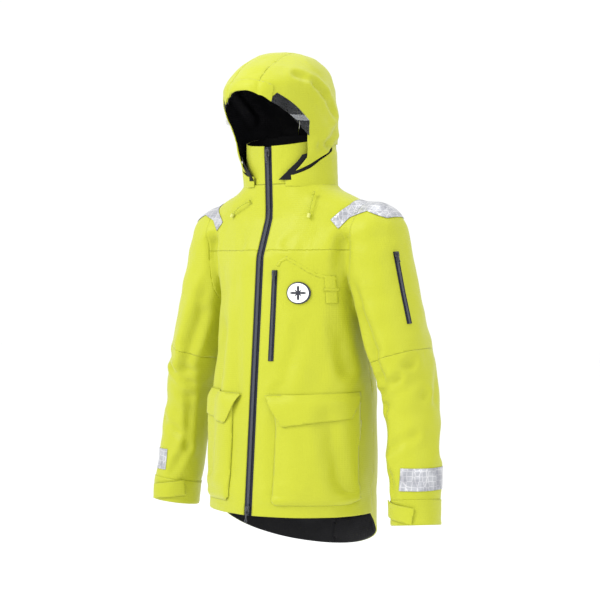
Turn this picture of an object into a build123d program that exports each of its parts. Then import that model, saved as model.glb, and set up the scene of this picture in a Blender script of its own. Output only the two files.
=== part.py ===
"""Hooded foul weather jacket, worn shape, modelled as its sewn panels, zips and trims.

Millimetres. +Z is up, the front faces -Y and the wearer's left is +X. The origin is where a coat
hanger's hook leaves the neck: on the centre line, at the height of the side neck points.
"""

import math
import os

from build123d import *

os.makedirs("parts", exist_ok=True)

# ---------------------------------------------------------------- driving dimensions
WALL = 3.0  # laminate, backer and seam tape together
SKIN = 0.4  # gap left between two pieces that lie on each other
FACE_GAP = 0.3  # gap between panels of two different moving bodies

# centre front line, (y, z) from the top of the face guard to the hem
GUARD_TOP = 92.0
NECK_FRONT = (-95.0, -55.0)
CHEST = (-128.0, -140.0)
HEM_FRONT = (-170.0, -676.0)
GUARD_FRONT_Y = -101.0
CF_BEND = 70.0  # radius of the two bends of the centre front line

TAIL_DROP = 100.0  # how far the tail hangs below the front hem
TAIL_CURVE = [(50, 0.35), (110, 0.92), (170, 0.985)]  # depth, share of the drop
YOKE_Z = -126.0  # seam between the yokes and the body panels
SIDE_SEAM_Y = 20.0
COLLAR_Z = 8.0  # seam between the yokes and the collar

# body rings: height, half width, back depth; the front depth comes from the centre front line
BODY_RINGS = [
    (HEM_FRONT[1] - TAIL_DROP, 188.0, 150.0),
    (HEM_FRONT[1], 188.0, 148.0),
    (-437.0, 188.0, 140.0),
    (-235.0, 171.0, 125.0),
    (CHEST[1], 184.0, 112.0),
    (-110.0, 198.0, 101.0),
    (-60.0, 210.0, 79.0),
    (-34.0, 198.0, 66.0),
    (-17.0, 168.0, 56.0),
    (0.0, 124.0, 46.0),
    (COLLAR_Z, 100.0, 43.0),
]
COLLAR_HALF = 96.0  # half width of the face guard
COLLAR_BACK = 42.0
COLLAR_RISE = 0.25  # the top edge climbs this much towards the back

# arm: centre line points and the half widths across (x) and fore and aft (y)
SHOULDER = (205.0, 0.0, -110.0)
BALL_R = 70.0
ARM_RINGS = [
    ((205.0, 0.0, -110.0), 67.0, 69.5),
    ((235.0, 0.0, -227.0), 61.0, 74.0),
    ((262.0, 3.0, -332.0), 62.0, 74.0),
    ((287.0, 4.0, -420.0), 55.0, 60.0),
    ((304.0, -7.0, -542.0), 50.0, 54.0),
    ((319.0, -22.0, -686.0), 47.0, 52.0),
]
ARMPIT = (172.0, 0.0, -245.0)
SLEEVE_CUT = (0.805, 0.0, -0.593)  # normal of the plane between sleeve head and sleeve
ELBOW_BACK = 40.0  # the elbow's axis lies this far behind the arm's centre line
ELBOW_FLEX = 60.0
ELBOW_SPARE = 2.0  # the wedge is cut this many degrees wider on each side
GUSSET_GROW = 0.05
CUFF_LENGTH = 52.0
CUFF_PROUD = 2.0
TAB_HEIGHT = 34.0
TAB_T = 2.2
TAB_GAP = 0.9
TAB_Z = -658.0
TAB_ANGLES = (-150.0, -62.0)  # sewn end and free end, seen from above on the left cuff
FOREARM_TAPE = (-92.0, 50.0)  # first and last angle of the reflective tape
FOREARM_TAPE_Z = -596.0
TAPE_WIDTH = 45.0

# hood: height, half width, front, back
HOOD_RINGS = [
    (24.0, 104.0, -108.0, 48.0),
    (100.0, 107.0, -136.0, 62.0),
    (150.0, 112.0, -178.0, 74.0),
    (205.0, 112.0, -192.0, 76.0),
    (245.0, 98.0, -160.0, 62.0),
    (272.0, 72.0, -122.0, 38.0),
    (288.0, 42.0, -88.0, 8.0),
    (294.0, 16.0, -62.0, -18.0),
]
# the hood's edge seen from the side: brim, rim corner, wing and back, (y, z)
HOOD_EDGE = [(-200.0, 214.0), (-88.0, 113.0), (-84.0, 78.0), (-103.0, 36.0), (-66.0, 66.0), (-10.0, 101.0)]
HOOD_AXIS = (62.0, 101.0)  # y, z of the line the hood folds about
HOOD_FOLD = 110.0
CROWN_HALF = 38.0
BRIM_DEPTH = 34.0

GLASS_T = 1.2
STIFFENER_T = 1.2
SHEEN_T = 0.8  # reflective tape

# zips
ZIP_HALF = 9.5  # half the opening between the front panels
ZIP_SINK = 1.5  # the tape's middle lies this far behind the front's surface
TAPE_T = 1.2
CHAIN_HALF = 3.0
CHAIN_T = 2.0
SLIDER = (11.0, 15.0, 4.8)  # width, length, height above the tape
PULL = (7.0, 24.0, 1.6)  # width, length, thickness
SMALL_SLIDER = (9.0, 10.0, 4.6)
SMALL_PULL = (5.0, 20.0, 1.4)
FLANGE = 1.2
ROOF = 2.0
BRIDGE_R = 0.6
BRIDGE_FIT = 0.08
EYE_R = 1.4
PULL_HOLE_R = 1.8
TOP_SLIDER_Z = 78.0
TOP_TRAVEL = 90.0
BOTTOM_SLIDER_Z = -664.0
BOTTOM_TRAVEL = 480.0
CHEST_ZIP_X = 39.0
CHEST_ZIP_Z = (-168.0, -356.0)
SMALL_TAPE_HALF = 6.0
SMALL_CHAIN_HALF = 2.2
SMALL_TAPE_T = 0.8
SMALL_CHAIN_T = 1.5
ARM_ZIP_ANGLE = -24.0
ARM_ZIP_RINGS = (0.30, 1.61)  # start and end along the arm, in rings
STORM_FLAP = (20.0, 1.2, 9.5)  # half width, thickness, how far it lies behind the zip

# pockets
POCKET_DEPTH = 13.0
POCKET_WALL = 1.4
FLAP_T = 2.0
FLAP_TOP_Z = -425.0
FLAP_DROP = 58.0
WELT = 6.0
FLAP_X = (45.0, 56.0)  # inner edge of the flap and of the pocket
POCKET_Z = (-440.0, -634.0)
POCKET_BACK_Y = -28.0
BAG_X = (30.0, 118.0)
BAG_Z = (-380.0, -160.0)
BAG_T = 1.5

BADGE_R = 23.0
BADGE_AT = (90.0, -215.0)  # x, z
BADGE_T = 1.2
MIC_TAB = ((139.0, -236.0), (156.0, -180.0))  # low and high corner, x and z
MIC_TAB_T = 2.4
SHOULDER_TAPE_X = 130.0
SHOULDER_TAPE_Z = (-78.0, -37.0)
HEM_FACING = 60.0
HANGER_LOOP = (30.0, 7.6, 26.0, 34.0)  # half width, depth, low, high
LOOP_INSET = 4.4  # its ends lie this far in front of the collar's inner wall on the centre line
LOOP_T = 1.6

# the two ends of the neck cord: their routes were chosen by hand
CORD_D = 2.5
CORD_LEFT = [(105.0, -83.5, -12.0), (105.5, -88.5, -24.0), (103.0, -92.0, -37.0), (101.0, -92.5, -50.0)]
CORD_RIGHT = [(-57.0, -98.0, -24.0), (-70.0, -100.0, -29.0), (-85.5, -98.0, -37.5), (-99.0, -92.5, -48.0)]
BEAD = (3.4, 9.0)  # radius, length
TUNNEL = (2.6, 1.45, 8.0)  # outer radius, inner radius, length

FRONT = -400.0  # past the front of the jacket
FAR = 900.0


# ---------------------------------------------------------------- outlines
def front_y(z):
    """Depth of the centre front line at a height."""
    points = [(GUARD_FRONT_Y, GUARD_TOP), NECK_FRONT, CHEST, HEM_FRONT]
    for (y0, z0), (y1, z1) in zip(points, points[1:]):
        if z >= z1 or (y1, z1) == HEM_FRONT:
            return y0 + (y1 - y0) * (z - z0) / (z1 - z0)


def rings_loft(rings, grow=0.0, drop=0.0):
    """A solid through level ellipses; grow moves the wall out and drop moves every ring down."""
    faces = []
    for z, half, front, back in rings:
        middle, depth = (front + back) / 2, (back - front) / 2
        faces.append(Pos(0, middle, z - drop) * Ellipse(half + grow, depth + grow))
    return loft(faces, ruled=True)


def body_rings():
    return [(z, half, front_y(z), back) for z, half, back in BODY_RINGS]


def body_solid(grow=0.0):
    """The body as a solid; a negative grow gives the space inside the wall."""
    return rings_loft(body_rings(), grow, drop=-min(grow, 0.0))


def arm_ring(station, across, along, heading):
    plane = Plane(origin=station, x_dir=(-heading.Z, 0, heading.X), z_dir=heading)
    return plane * Ellipse(across, along)


def arm_headings():
    points = [Vector(*ring[0]) for ring in ARM_RINGS]
    headings = []
    for i in range(len(points)):
        before, after = points[max(i - 1, 0)], points[min(i + 1, len(points) - 1)]
        step = after - before
        headings.append(Vector(step.X, 0, step.Z).normalized())
    return headings


def arm_solid(grow=0.0):
    """The left arm as a solid: the shoulder's ball and a tapering tube down to the cuff."""
    faces = []
    for (station, across, along), heading in zip(ARM_RINGS, arm_headings()):
        faces.append(arm_ring(Vector(*station), across + grow, along + grow, heading))
    return loft(faces, ruled=True) + Pos(*SHOULDER) * Sphere(BALL_R + grow)


def block(low, high):
    size = [b - a for a, b in zip(low, high)]
    middle = [(a + b) / 2 for a, b in zip(low, high)]
    return Pos(*middle) * Box(*size)


def side_outline(points, half=FAR):
    """A prism across the jacket from an outline in (y, z)."""
    outline = make_face(Polyline(*[(0, y, z) for y, z in points], close=True))
    return extrude(outline, amount=half, dir=(1, 0, 0), both=True)


def half_space(origin, normal, side=1):
    """A large block on one side of a plane."""
    plane = Plane(origin=origin, z_dir=Vector(*normal) * side)
    return plane * Pos(0, 0, FAR / 2) * Box(2 * FAR, 2 * FAR, FAR)


def mirrored(shape):
    return mirror(shape, about=Plane.YZ)


def whole(shape):
    """The solids of a shape, without crumbs left by a cut."""
    solids = [s for s in shape.solids() if s.volume > 1.0]
    return solids[0] if len(solids) == 1 else Compound(children=solids)


PARTS = {}


def keep(name, shape):
    PARTS[name] = whole(shape)


def keep_pair(name, shape):
    keep(name + "_left", shape)
    keep(name + "_right", mirrored(shape))


# ---------------------------------------------------------------- body panels
BODY = body_solid()
BODY_IN = body_solid(-WALL)
ARM = arm_solid()
ARM_IN = arm_solid(-WALL)


def below_hem(rise):
    """Everything under the hem, raised by rise; the tail drops in a curve towards the back."""
    front = [(FRONT, HEM_FRONT[1]), (-20, HEM_FRONT[1])]
    tail = [(y, HEM_FRONT[1] - share * TAIL_DROP) for y, share in TAIL_CURVE]
    outline = [(y, z + rise) for y, z in front + tail]
    return side_outline([*outline, (FAR, outline[-1][1]), (FAR, -FAR), (FRONT, -FAR)])


def body_panels():
    hem = below_hem(0)
    neck_middle = (front_y(COLLAR_Z) + COLLAR_BACK) / 2
    neck_depth = (COLLAR_BACK - front_y(COLLAR_Z)) / 2 - WALL
    neck_hole = Pos(0, neck_middle, -WALL) * extrude(Ellipse(COLLAR_HALF - WALL, neck_depth), 2 * COLLAR_Z)
    shell = BODY - BODY_IN - ARM_IN - mirrored(ARM_IN) - hem - neck_hole
    zip_slot = block((-ZIP_HALF, FRONT, -FAR), (ZIP_HALF, -20, FAR))
    front = shell & block((-FAR, FRONT, -FAR), (FAR, SIDE_SEAM_Y, FAR))
    front = front - zip_slot
    back = shell & block((-FAR, SIDE_SEAM_Y, -FAR), (FAR, FAR, FAR))
    below = block((0, FRONT, -FAR), (FAR, FAR, YOKE_Z))
    above = block((0, FRONT, YOKE_Z), (FAR, FAR, FAR))
    keep_pair("front_panel", front & below)
    keep_pair("front_yoke", front & above)
    keep("back_panel", back & (below + mirrored(below)))
    keep("back_yoke", back & (above + mirrored(above)))


def collar():
    """Face guard in front, and a lower collar behind it that the hood comes out of."""
    rings = [
        (COLLAR_Z + SKIN, COLLAR_HALF, front_y(COLLAR_Z), COLLAR_BACK),
        (GUARD_TOP + 60, COLLAR_HALF, front_y(GUARD_TOP) - 2.5, COLLAR_BACK),
    ]
    shell = rings_loft(rings) - rings_loft(rings, -WALL)
    top = side_outline(
        [
            (FRONT, GUARD_TOP + COLLAR_RISE * (FRONT - GUARD_FRONT_Y)),
            (FAR, GUARD_TOP + COLLAR_RISE * (FAR - GUARD_FRONT_Y)),
            (FAR, FAR),
            (FRONT, FAR),
        ]
    )
    shell = shell - top - block((-ZIP_HALF, FRONT, -FAR), (ZIP_HALF, -20, FAR))
    guard_back = -62.0
    keep_pair("face_guard", shell & block((0, FRONT, -FAR), (FAR, guard_back, FAR)))
    keep("collar_back", shell & block((-FAR, guard_back, -FAR), (FAR, FAR, FAR)))


# ---------------------------------------------------------------- sleeves
def elbow_frame():
    station, heading = Vector(*ARM_RINGS[3][0]), arm_headings()[3]
    origin = station + Vector(0, ELBOW_BACK, 0)
    axis = Vector(heading.Z, 0, -heading.X)
    return origin, heading, axis


def elbow_wedge(grow):
    """The space that closes as the elbow bends: a wedge open to the front, with a slit behind."""
    origin, heading, axis = elbow_frame()
    reach = 2 * BALL_R
    rise = math.tan(math.radians(ELBOW_FLEX / 2 + ELBOW_SPARE)) * reach
    plane = Plane(origin=origin, x_dir=(0, -1, 0), z_dir=axis)
    upper = [(-reach, grow), (0, grow), (reach, rise + grow)]
    outline = make_face(Polyline(*upper, *[(x, -y) for x, y in reversed(upper)], close=True))
    return plane * extrude(outline, amount=reach, both=True)


def cuff_top(back):
    """The plane where the cuff starts, moved back up the sleeve."""
    heading = arm_headings()[-1]
    return Vector(*ARM_RINGS[-1][0]) - heading * (CUFF_LENGTH + back), heading


def sleeves():
    shell = ARM - ARM_IN
    head = shell & half_space(ARMPIT, SLEEVE_CUT, -1)
    head = head - body_solid(SKIN)
    keep_pair("sleeve_head", head)
    cut = Vector(*ARMPIT) + Vector(*SLEEVE_CUT) * FACE_GAP
    arm = shell & half_space(cut, SLEEVE_CUT)
    origin, heading, _ = elbow_frame()
    upper = arm & half_space(origin, heading, -1)
    lower = arm & half_space(origin, heading)
    keep_pair("sleeve_upper", upper - elbow_wedge(FACE_GAP))
    lower = lower - elbow_wedge(FACE_GAP)
    keep_pair("sleeve_lower", lower - half_space(*cuff_top(0.0)))
    gusset = arm & elbow_wedge(GUSSET_GROW)
    behind = block((0, origin.Y - 2 * FACE_GAP, -FAR), (FAR, FAR, FAR))
    keep_pair("elbow_gusset", gusset - behind)
    cuff = arm_solid(CUFF_PROUD) - ARM_IN
    keep_pair("cuff", cuff & half_space(*cuff_top(-SKIN)))


def sector(centre, angles, low, high, reach=90.0):
    """A level pie slice around an upright line, for cutting patches out of tubes."""
    first, last = (math.radians(a) for a in angles)
    steps = max(2, math.ceil((last - first) / 0.6))
    turn = [first + (last - first) * i / steps for i in range(steps + 1)]
    rim = [(reach * 1.3 * math.cos(t), reach * 1.3 * math.sin(t)) for t in turn]
    outline = make_face(Polyline((0, 0), *rim, close=True))
    return Pos(centre[0], centre[1], low) * extrude(outline, amount=high - low)


def arm_centre(z):
    for (a, _, _), (b, _, _) in zip(ARM_RINGS, ARM_RINGS[1:]):
        if z >= b[2]:
            t = (z - a[2]) / (b[2] - a[2])
            return tuple(p + (q - p) * t for p, q in zip(a, b))
    return ARM_RINGS[-1][0]


def cuff_trims():
    gap = CUFF_PROUD + TAB_GAP
    low, high = TAB_Z - TAB_HEIGHT / 2, TAB_Z + TAB_HEIGHT / 2
    tab = arm_solid(gap + TAB_T) - arm_solid(gap)
    keep_pair("cuff_tab", tab & sector(arm_centre(TAB_Z), TAB_ANGLES, low, high))
    low, high = FOREARM_TAPE_Z - TAPE_WIDTH / 2, FOREARM_TAPE_Z + TAPE_WIDTH / 2
    tape = arm_solid(SKIN + SHEEN_T) - arm_solid(SKIN)
    tape = tape & sector(arm_centre(FOREARM_TAPE_Z), FOREARM_TAPE, low, high)
    keep_pair("forearm_tape", tape & half_space(*cuff_top(SKIN), -1))


# ---------------------------------------------------------------- hood
def hood_region():
    """Everything behind and above the hood's edge, seen from the side."""
    back = [(FAR, HOOD_AXIS[1] + 2), (FAR, FAR), (HOOD_EDGE[0][0] - 240, FAR)]
    front = (HOOD_EDGE[0][0] - 240, HOOD_EDGE[0][1] + 216)
    return side_outline([*HOOD_EDGE, (HOOD_AXIS[0] - 20, HOOD_AXIS[1] + 2), *back, front])


def hood_panels():
    shell = rings_loft(HOOD_RINGS) - rings_loft(HOOD_RINGS, -WALL, drop=WALL)
    shell = shell & hood_region()
    (y0, z0), (y1, z1) = HOOD_EDGE[0], HOOD_EDGE[1]
    slope = Vector(0, y1 - y0, z1 - z0).normalized()
    inward = Vector(0, -slope.Z, slope.Y)
    brim_cut = half_space(Vector(0, y0, z0) + inward * BRIM_DEPTH, tuple(inward), -1)
    forehead = block((-FAR, -FAR, 176), (FAR, FAR, FAR))
    brim = shell & brim_cut & forehead
    rest = shell - (brim_cut & forehead)
    crown = block((-CROWN_HALF, -FAR, -FAR), (CROWN_HALF, FAR, FAR))
    windows = window_region()
    keep("hood_brim", brim - windows)
    keep("hood_crown", rest & crown)
    keep_pair("hood_side", (rest - crown - windows) & block((0, -FAR, -FAR), (FAR, FAR, FAR)))
    glass = rings_loft(HOOD_RINGS, -GLASS_T / 2) - rings_loft(HOOD_RINGS, -3 * GLASS_T / 2)
    keep("hood_windows", glass & windows & hood_region())
    tape = rings_loft(HOOD_RINGS, SKIN + SHEEN_T) - rings_loft(HOOD_RINGS, SKIN)
    keep("hood_tape", tape & block((-70, -60, 200), (-10, -15, 284)))
    depth = WALL + SKIN
    inner = rings_loft(HOOD_RINGS, -depth, drop=depth)
    inner = inner - rings_loft(HOOD_RINGS, -depth - STIFFENER_T, drop=depth + STIFFENER_T)
    keep("brim_stiffener", inner & brim_cut & hood_region() & block((-80, -FAR, 176), (80, FAR, 226)))


def window_region():
    """Side windows: a slanted strip along the rim, (y, z)."""
    return side_outline([(-172, 184), (-146, 206), (-84, 150), (-80, 116), (-96, 112)])


# ---------------------------------------------------------------- zips
def centre_line(depth):
    """The centre front line moved forward by depth, in (y, z)."""
    points = [(GUARD_FRONT_Y, GUARD_TOP - 2), NECK_FRONT, CHEST, HEM_FRONT]
    return FilletPolyline(*[(y - depth, z) for y, z in points], radius=CF_BEND)


def strip(depth, thickness, low_x, high_x):
    """A strip along the centre front; depth is its middle's distance in front of the panels."""
    band = trace(centre_line(depth), thickness)
    return Pos(low_x, 0, 0) * extrude(Plane.YZ * band, amount=high_x - low_x)


def slider_body(size, lug_side):
    """A slider that straddles its chain, with two lugs and the bridge that carries the pull."""
    width, length, height = size
    body = Pos(0, 0, height - ROOF / 2) * Box(width, length, ROOF)
    for side in (1, -1):
        x = side * (width - FLANGE) / 2
        wall = height - ROOF - SKIN
        body = body + Pos(x, 0, SKIN + wall / 2) * Box(FLANGE, length, wall)
    y, z = lug_place(size, lug_side)
    for side in (1, -1):
        body = body + Pos(side * 2.6, y, (height + z) / 2) * Box(FLANGE, 3.0, z - height + 1.2)
    return body + Pos(0, y, z) * Rot(0, 90, 0) * Cylinder(BRIDGE_R, 5.0)


def lug_place(size, lug_side):
    return lug_side * size[1] * 0.18, size[2] + EYE_R + SKIN


def pull_body(size, slider, lug_side):
    """A pull hanging down from the bridge: an eye, a narrow blade and a round end with a hole."""
    width, length, thick = size
    y, z = lug_place(slider, lug_side)
    end = y - length + width / 2
    body = Pos(0, y, z) * Rot(0, 90, 0) * Cylinder(EYE_R, 3.2)
    body = body + Pos(0, (y + end) / 2, z) * Box(3.2, y - end, thick)
    body = body + Pos(0, end, z) * Cylinder(width / 2, thick)
    body = body - Pos(0, y, z) * Rot(0, 90, 0) * Cylinder(BRIDGE_R + BRIDGE_FIT, 2 * width)
    return body - Pos(0, end, z) * Cylinder(PULL_HOLE_R * width / PULL[0], 2 * width)


def zip_plane(point, upward, outward):
    """Frame of a slider: y runs up the zip and z points out of the cloth."""
    up = Vector(*upward).normalized()
    out = Vector(*outward)
    out = (out - up * out.dot(up)).normalized()
    return Plane(origin=point, x_dir=up.cross(out), z_dir=out)


def centre_plane(z, low, high):
    """Frame on the main zip at height z, on its straight run from low to high."""
    up = (0, high[0] - low[0], high[1] - low[1])
    return zip_plane((0, front_y(z) + ZIP_SINK - TAPE_T / 2, z), up, (0, -1, 0))


def main_zip():
    tape = strip(-ZIP_SINK, TAPE_T, FACE_GAP, ZIP_HALF - SKIN)
    keep("main_zip_tapes", tape + mirrored(tape))
    chain_depth = (TAPE_T + CHAIN_T) / 2 + FACE_GAP - ZIP_SINK
    keep("main_zip_chain", strip(chain_depth, CHAIN_T, -CHAIN_HALF, CHAIN_HALF))
    half, thick, behind = STORM_FLAP
    keep("inner_storm_flap", strip(-behind, thick, -half, half))
    top = top_plane()
    keep("top_slider", top * slider_body(SLIDER, 1))
    keep("top_pull", top * pull_body(PULL, SLIDER, 1))
    bottom = bottom_plane()
    keep("bottom_slider", bottom * slider_body(SLIDER, -1))
    keep("bottom_pull", bottom * pull_body(PULL, SLIDER, -1))


def top_plane():
    return centre_plane(TOP_SLIDER_Z, NECK_FRONT, (GUARD_FRONT_Y, GUARD_TOP))


def bottom_plane():
    return centre_plane(BOTTOM_SLIDER_Z, HEM_FRONT, CHEST)


def body_ring(z):
    """The body's ellipse at a height: half width, middle and half depth."""
    rings = sorted(body_rings(), reverse=True)
    for a, b in zip(rings, rings[1:]):
        if z >= b[0]:
            t = (z - a[0]) / (b[0] - a[0])
            half, front, back = (p + (q - p) * t for p, q in zip(a[1:], b[1:]))
            return half, (front + back) / 2, (back - front) / 2


def ring_point(turn, z, lift=0.0):
    """A point on the body, turned from the left side to the front, and the way out of the cloth."""
    half, middle, depth = body_ring(z)
    out = Vector(depth * math.cos(turn), -half * math.sin(turn), 0).normalized()
    return Vector(half * math.cos(turn), middle - depth * math.sin(turn), z) + out * lift, out


def body_point(x, z, lift=0.0):
    return ring_point(math.acos(x / body_ring(z)[0]), z, lift)


def chest_plane():
    top, out = body_point(CHEST_ZIP_X, CHEST_ZIP_Z[0], SKIN + SMALL_TAPE_T)
    low, _ = body_point(CHEST_ZIP_X, CHEST_ZIP_Z[1], SKIN + SMALL_TAPE_T)
    up = (top - low).normalized()
    return zip_plane(top - up * (SMALL_SLIDER[1] / 2 + 1), up, out)


def on_body(lift, thickness):
    """The layer of space lying on the body from lift outwards; negative lifts are inside."""
    return body_solid(lift + thickness) - body_solid(lift)


def chest_pocket():
    x, (top, low) = CHEST_ZIP_X, CHEST_ZIP_Z
    tape = block((x - SMALL_TAPE_HALF, FRONT, low), (x + SMALL_TAPE_HALF, -20, top))
    keep("chest_zip_tape", on_body(SKIN, SMALL_TAPE_T) & tape)
    chain = block((x - SMALL_CHAIN_HALF, FRONT, low), (x + SMALL_CHAIN_HALF, -20, top))
    keep("chest_zip_chain", on_body(SKIN + SMALL_TAPE_T, SMALL_CHAIN_T) & chain)
    keep("chest_slider", chest_plane() * slider_body(SMALL_SLIDER, 1))
    keep("chest_pull", chest_plane() * pull_body(SMALL_PULL, SMALL_SLIDER, 1))
    bag = block((BAG_X[0], FRONT, BAG_Z[0]), (BAG_X[1], 0, BAG_Z[1]))
    keep("chest_pocket_bag", on_body(-WALL - SKIN - BAG_T, BAG_T) & bag)


def arm_point(ring, angle, lift=0.0):
    """A point on the left arm: ring counts down the arm and angle goes round it."""
    i = min(int(ring), len(ARM_RINGS) - 2)
    ends = []
    for (station, across, along), heading in list(zip(ARM_RINGS, arm_headings()))[i : i + 2]:
        sideways = Vector(-heading.Z, 0, heading.X)
        turn = math.radians(angle)
        out = sideways * math.cos(turn) * (across + lift) + Vector(0, 1, 0) * math.sin(turn) * (along + lift)
        ends.append(Vector(*station) + out)
    return ends[0] + (ends[1] - ends[0]) * (ring - i)


def arm_zip_plane():
    start, end = (arm_point(ring, ARM_ZIP_ANGLE, SKIN + SMALL_TAPE_T) for ring in ARM_ZIP_RINGS)
    turn = math.radians(ARM_ZIP_ANGLE)
    up = (start - end).normalized()
    return zip_plane(start - up * (SMALL_SLIDER[1] / 2 + 1), up, (math.cos(turn), math.sin(turn), 0))


def arm_zip_length():
    start, end = (arm_point(ring, ARM_ZIP_ANGLE) for ring in ARM_ZIP_RINGS)
    return (start - end).length


def arm_pocket():
    plane = arm_zip_plane()
    length = arm_zip_length()
    middle = SMALL_SLIDER[1] / 2 + 1 - length / 2
    depth = 4 * WALL

    def layer(half, lift, thickness):
        slab = plane * Pos(0, middle, 0) * Box(2 * half, length, 2 * depth)
        return (arm_solid(lift + thickness) - arm_solid(lift)) & slab

    keep("sleeve_zip_tape", layer(SMALL_TAPE_HALF, SKIN, SMALL_TAPE_T))
    keep("sleeve_zip_chain", layer(SMALL_CHAIN_HALF, SKIN + SMALL_TAPE_T, SMALL_CHAIN_T))
    keep("sleeve_slider", plane * slider_body(SMALL_SLIDER, 1))
    keep("sleeve_pull", plane * pull_body(SMALL_PULL, SMALL_SLIDER, 1))


# ---------------------------------------------------------------- pockets and trims
def hand_pockets():
    """A bellows pocket open at its top, the welt over its mouth and the flap that closes it."""
    low, high = POCKET_Z[1], POCKET_Z[0]
    side = block((FLAP_X[1], FRONT, low), (FAR, POCKET_BACK_Y, high))
    inside = block(
        (FLAP_X[1] + POCKET_WALL, FRONT, low + POCKET_WALL),
        (FAR, POCKET_BACK_Y - POCKET_WALL, high + WALL),
    )
    pocket = on_body(SKIN, POCKET_DEPTH - SKIN) & side
    pocket = pocket - (body_solid(POCKET_DEPTH - POCKET_WALL) & inside)
    flap_side = block((FLAP_X[0], FRONT, FLAP_TOP_Z - FLAP_DROP), (FAR, POCKET_BACK_Y, FLAP_TOP_Z))
    welt_side = flap_side & block((0, FRONT, FLAP_TOP_Z - WELT), (FAR, 0, FLAP_TOP_Z))
    keep_pair("hand_pocket", pocket + (on_body(SKIN, POCKET_DEPTH - SKIN) & welt_side))
    keep_pair("pocket_flap", on_body(POCKET_DEPTH + SKIN, FLAP_T) & flap_side)


def flap_axis():
    """The line a left flap turns about: parallel to its top edge's chord, at its furthest point."""
    lift = POCKET_DEPTH + SKIN + FLAP_T
    half, middle, depth = body_ring(FLAP_TOP_Z)
    first = math.acos(FLAP_X[0] / half)
    last = math.asin((middle - POCKET_BACK_Y) / depth)
    start, _ = ring_point(first, FLAP_TOP_Z, lift)
    end, _ = ring_point(last, FLAP_TOP_Z, lift)
    furthest, _ = ring_point((first + last) / 2, FLAP_TOP_Z, lift)
    return furthest, (end - start).normalized()


def trims():
    x, z = BADGE_AT
    round_cut = Pos(x, FRONT / 2, z) * Rot(90, 0, 0) * Cylinder(BADGE_R, -FRONT)
    keep("chest_badge", on_body(SKIN, BADGE_T) & round_cut)
    (low_x, low_z), (high_x, high_z) = MIC_TAB
    keep("mic_tab", on_body(SKIN, MIC_TAB_T) & block((low_x, FRONT, low_z), (high_x, 0, high_z)))
    across = block((SHOULDER_TAPE_X, -FAR, SHOULDER_TAPE_Z[0]), (FAR, FAR, SHOULDER_TAPE_Z[1]))
    tape = (on_body(SKIN, SHEEN_T) & across) - arm_solid(SKIN)
    keep("shoulder_tapes", tape + mirrored(tape))
    facing = on_body(-WALL - SKIN - SHEEN_T, SHEEN_T) & below_hem(HEM_FACING)
    facing = facing & block((-FAR, SIDE_SEAM_Y, -FAR), (FAR, FAR, FAR))
    keep("hem_facing", facing - below_hem(2))
    half, depth, low, high = HANGER_LOOP
    back = COLLAR_BACK - WALL - LOOP_INSET
    front = back - depth
    loop = block((-half, front, low), (half, back, high))
    keep("hanger_loop", loop - block((LOOP_T - half, front + LOOP_T, low - 1), (half - LOOP_T, FAR, high + 1)))


# ---------------------------------------------------------------- neck cord ends
def cord_radii(points):
    """The largest radius each bend of a cord can take."""
    radii = []
    for a, b, c in zip(points, points[1:], points[2:]):
        before, after = Vector(*b) - Vector(*a), Vector(*c) - Vector(*b)
        turn = math.radians(before.get_angle(after))
        radii.append(0.45 * min(before.length, after.length) / math.tan(turn / 2))
    return radii


def cord_end(name, points):
    radii = cord_radii(points)
    print(name, "radii", [round(r, 1) for r in radii])
    path = FilletPolyline(*points, radius=radii)
    keep(name, sweep(Plane(origin=path @ 0, z_dir=path % 0) * Circle(CORD_D / 2), path=path))
    radius, length = BEAD
    bead = Plane(origin=path @ 1, z_dir=path % 1) * Pos(0, 0, length / 2) * Cylinder(radius, length)
    outer, inner, length = TUNNEL
    tube = Cylinder(outer, length) - Cylinder(inner, length)
    tunnel = Plane(origin=path @ 0, z_dir=path % 0) * Pos(0, 0, -length / 2 + 2) * tube
    return bead, tunnel


def neck_cords():
    left_bead, left_tunnel = cord_end("neck_cord_left", CORD_LEFT)
    right_bead, right_tunnel = cord_end("neck_cord_right", CORD_RIGHT)
    keep("cord_bead_left", left_bead)
    keep("cord_bead_right", right_bead)
    keep("cord_tunnels", left_tunnel + right_tunnel)


def main():
    body_panels()
    collar()
    sleeves()
    cuff_trims()
    hood_panels()
    main_zip()
    chest_pocket()
    arm_pocket()
    hand_pockets()
    trims()
    neck_cords()
    for name, shape in PARTS.items():
        export_step(shape, "parts/" + name + ".step")


if __name__ == "__main__":
    main()
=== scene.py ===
import math

import bmesh
import bpy
from mathutils import Matrix, Vector, noise
from mathutils.bvhtree import BVHTree


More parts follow.
